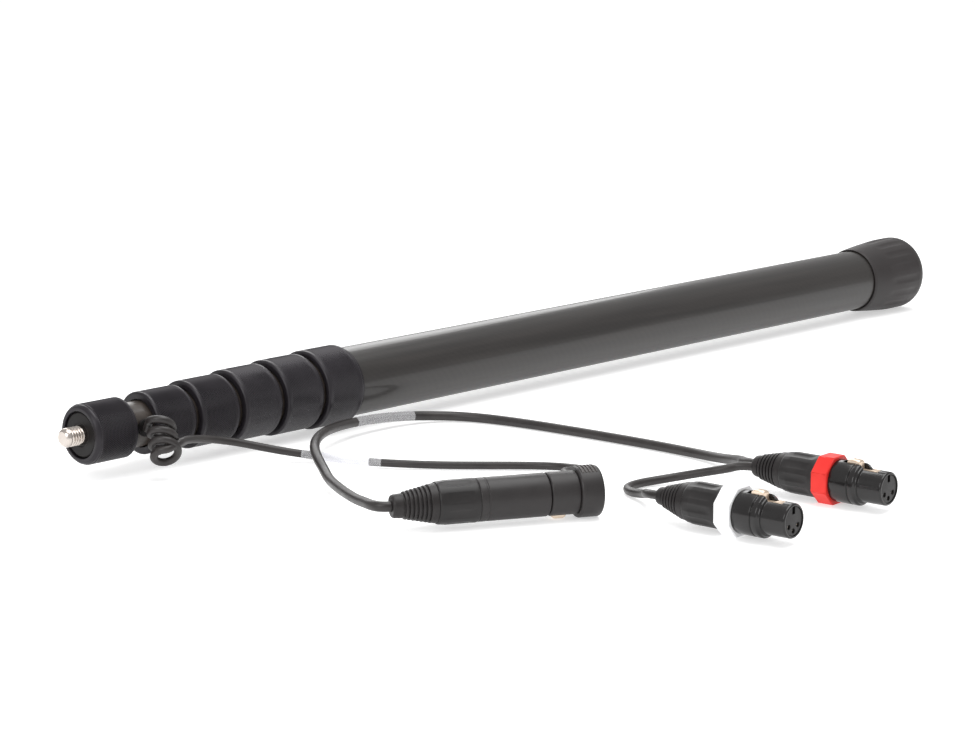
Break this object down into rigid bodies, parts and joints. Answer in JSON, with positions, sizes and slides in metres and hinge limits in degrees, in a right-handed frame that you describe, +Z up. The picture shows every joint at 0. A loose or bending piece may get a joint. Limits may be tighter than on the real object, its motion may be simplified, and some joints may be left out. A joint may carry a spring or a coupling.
{
  "type": "boom pole",
  "caption": "Telescopic carbon boom pole, closed, internally cabled, with twist-lock collars, a threaded tip stud, a coiled exit lead and a Y cable with audio connectors.",
  "frame": {"origin": "middle of the pole's length, on the surface that it lies on", "axes": "-X from the origin towards the threaded stud, +X towards the end cap, +Z up"},
  "size_m": [0.68, 0.3522, 0.045],
  "materials": {
    "carbon_base": "gloss carbon-fibre tube",
    "carbon_inner": "satin graphite carbon-fibre tube",
    "anodised": "black anodised, satin",
    "stainless": "bright turned stainless steel",
    "nylon": "black moulded nylon",
    "cap_rubber": "satin black rubber",
    "connector_black": "satin black plated die-cast metal",
    "connector_polymer": "black moulded polymer",
    "boot_rubber": "matt black rubber",
    "latch_gold": "pale gold plated",
    "ring_red": "red polymer",
    "ring_white": "white polymer",
    "cord_jacket": "satin dark grey PVC jacket",
    "label_sleeve": "clear sleeve over a blank label"
  },
  "bodies": {
    "base_section": {"base_tube": "carbon_base", "ferrule_1": "anodised", "collet_1": "nylon", "base_socket": "connector_black"},
    "section_2": {"tube_2": "carbon_inner", "ferrule_2": "anodised", "collet_2": "nylon", "rear_bush_2": "nylon"},
    "section_3": {"tube_3": "carbon_inner", "ferrule_3": "anodised", "collet_3": "nylon", "rear_bush_3": "nylon"},
    "section_4": {"tube_4": "carbon_inner", "ferrule_4": "anodised", "collet_4": "nylon", "rear_bush_4": "nylon"},
    "section_5": {"tube_5": "carbon_inner", "ferrule_5": "anodised", "collet_5": "nylon", "rear_bush_5": "nylon"},
    "tip_section": {"tube_6": "carbon_inner", "rear_bush_6": "nylon", "tip_plug": "nylon", "thread_stud": "stainless", "cable_grommet": "nylon", "inner_coil": "cord_jacket", "exit_coil": "cord_jacket", "pole_lead": "cord_jacket", "pole_label": "label_sleeve", "low_shell": "connector_black", "low_insert": "connector_polymer", "low_cap": "connector_black", "low_clamp": "connector_black"},
    "collar_1_body": {"collar_1": "anodised"},
    "collar_2_body": {"collar_2": "anodised"},
    "collar_3_body": {"collar_3": "anodised"},
    "collar_4_body": {"collar_4": "anodised"},
    "collar_5_body": {"collar_5": "anodised"},
    "head_ring_body": {"head_ring": "anodised"},
    "base_cap_body": {"base_cap": "cap_rubber"},
    "low_latch_body": {"low_latch": "latch_gold"},
    "y_cable": {"plug_boot": "boot_rubber", "plug_bushing": "connector_polymer", "plug_shell": "connector_black", "plug_insert": "connector_polymer", "y_lead": "cord_jacket", "y_label": "label_sleeve", "white_leg": "cord_jacket", "red_boot": "boot_rubber", "red_bushing": "connector_polymer", "red_ring": "ring_red", "red_shell": "connector_black", "red_insert": "connector_polymer", "white_boot": "boot_rubber", "white_bushing": "connector_polymer", "white_ring": "ring_white", "white_shell": "connector_black", "white_insert": "connector_polymer"},
    "red_latch_body": {"red_latch": "latch_gold"},
    "white_latch_body": {"white_latch": "latch_gold"}
  },
  "joints": [
    {"name": "extend_section_2", "type": "slide", "parent": "base_section", "child": "section_2", "axis": [-1, 0, 0], "range_m": [0, 0.42]},
    {"name": "extend_section_3", "type": "slide", "parent": "section_2", "child": "section_3", "axis": [-1, 0, 0], "range_m": [0, 0.435]},
    {"name": "extend_section_4", "type": "slide", "parent": "section_3", "child": "section_4", "axis": [-1, 0, 0], "range_m": [0, 0.45]},
    {"name": "extend_section_5", "type": "slide", "parent": "section_4", "child": "section_5", "axis": [-1, 0, 0], "range_m": [0, 0.465]},
    {"name": "extend_tip_section", "type": "slide", "parent": "section_5", "child": "tip_section", "axis": [-1, 0, 0], "range_m": [0, 0.48]},
    {"name": "turn_collar_1", "type": "hinge", "parent": "base_section", "child": "collar_1_body", "pos_m": [-0.1698, 0, 0.0225], "axis": [1, 0, 0], "range_deg": [0, 90]},
    {"name": "turn_collar_2", "type": "hinge", "parent": "section_2", "child": "collar_2_body", "pos_m": [-0.1974, 0, 0.0225], "axis": [1, 0, 0], "range_deg": [0, 90]},
    {"name": "turn_collar_3", "type": "hinge", "parent": "section_3", "child": "collar_3_body", "pos_m": [-0.225, 0, 0.0225], "axis": [1, 0, 0], "range_deg": [0, 90]},
    {"name": "turn_collar_4", "type": "hinge", "parent": "section_4", "child": "collar_4_body", "pos_m": [-0.2526, 0, 0.0225], "axis": [1, 0, 0], "range_deg": [0, 90]},
    {"name": "turn_collar_5", "type": "hinge", "parent": "section_5", "child": "collar_5_body", "pos_m": [-0.2802, 0, 0.0225], "axis": [1, 0, 0], "range_deg": [0, 90]},
    {"name": "turn_head_ring", "type": "hinge", "parent": "tip_section", "child": "head_ring_body", "pos_m": [-0.317, 0, 0.0225], "axis": [1, 0, 0], "range_deg": [0, 90]},
    {"name": "turn_base_cap", "type": "hinge", "parent": "base_section", "child": "base_cap_body", "pos_m": [0.315, 0, 0.0225], "axis": [1, 0, 0], "range_deg": [0, 180]},
    {"name": "unplug_y_cable", "type": "slide", "parent": "tip_section", "child": "y_cable", "axis": [-0.8838, 0.4679, 0], "range_m": [0, 0.014]},
    {"name": "press_red_latch", "type": "hinge", "parent": "y_cable", "child": "red_latch_body", "pos_m": [-0.11024, -0.30034, 0.01815], "axis": [0.9969, 0.0785, 0], "range_deg": [0, 4], "stiffness_Nm_per_rad": 0.2, "springref_deg": -1.15},
    {"name": "press_white_latch", "type": "hinge", "parent": "y_cable", "child": "white_latch_body", "pos_m": [-0.18869, -0.30607, 0.01815], "axis": [0.9976, 0.0698, 0], "range_deg": [0, 4], "stiffness_Nm_per_rad": 0.2, "springref_deg": -1.15},
    {"name": "press_low_latch", "type": "hinge", "parent": "tip_section", "child": "low_latch_body", "pos_m": [-0.22019, -0.2208, 0.00535], "axis": [0.4679, 0.8838, 0], "range_deg": [0, 4], "stiffness_Nm_per_rad": 0.2, "springref_deg": -1.15}
  ]
}
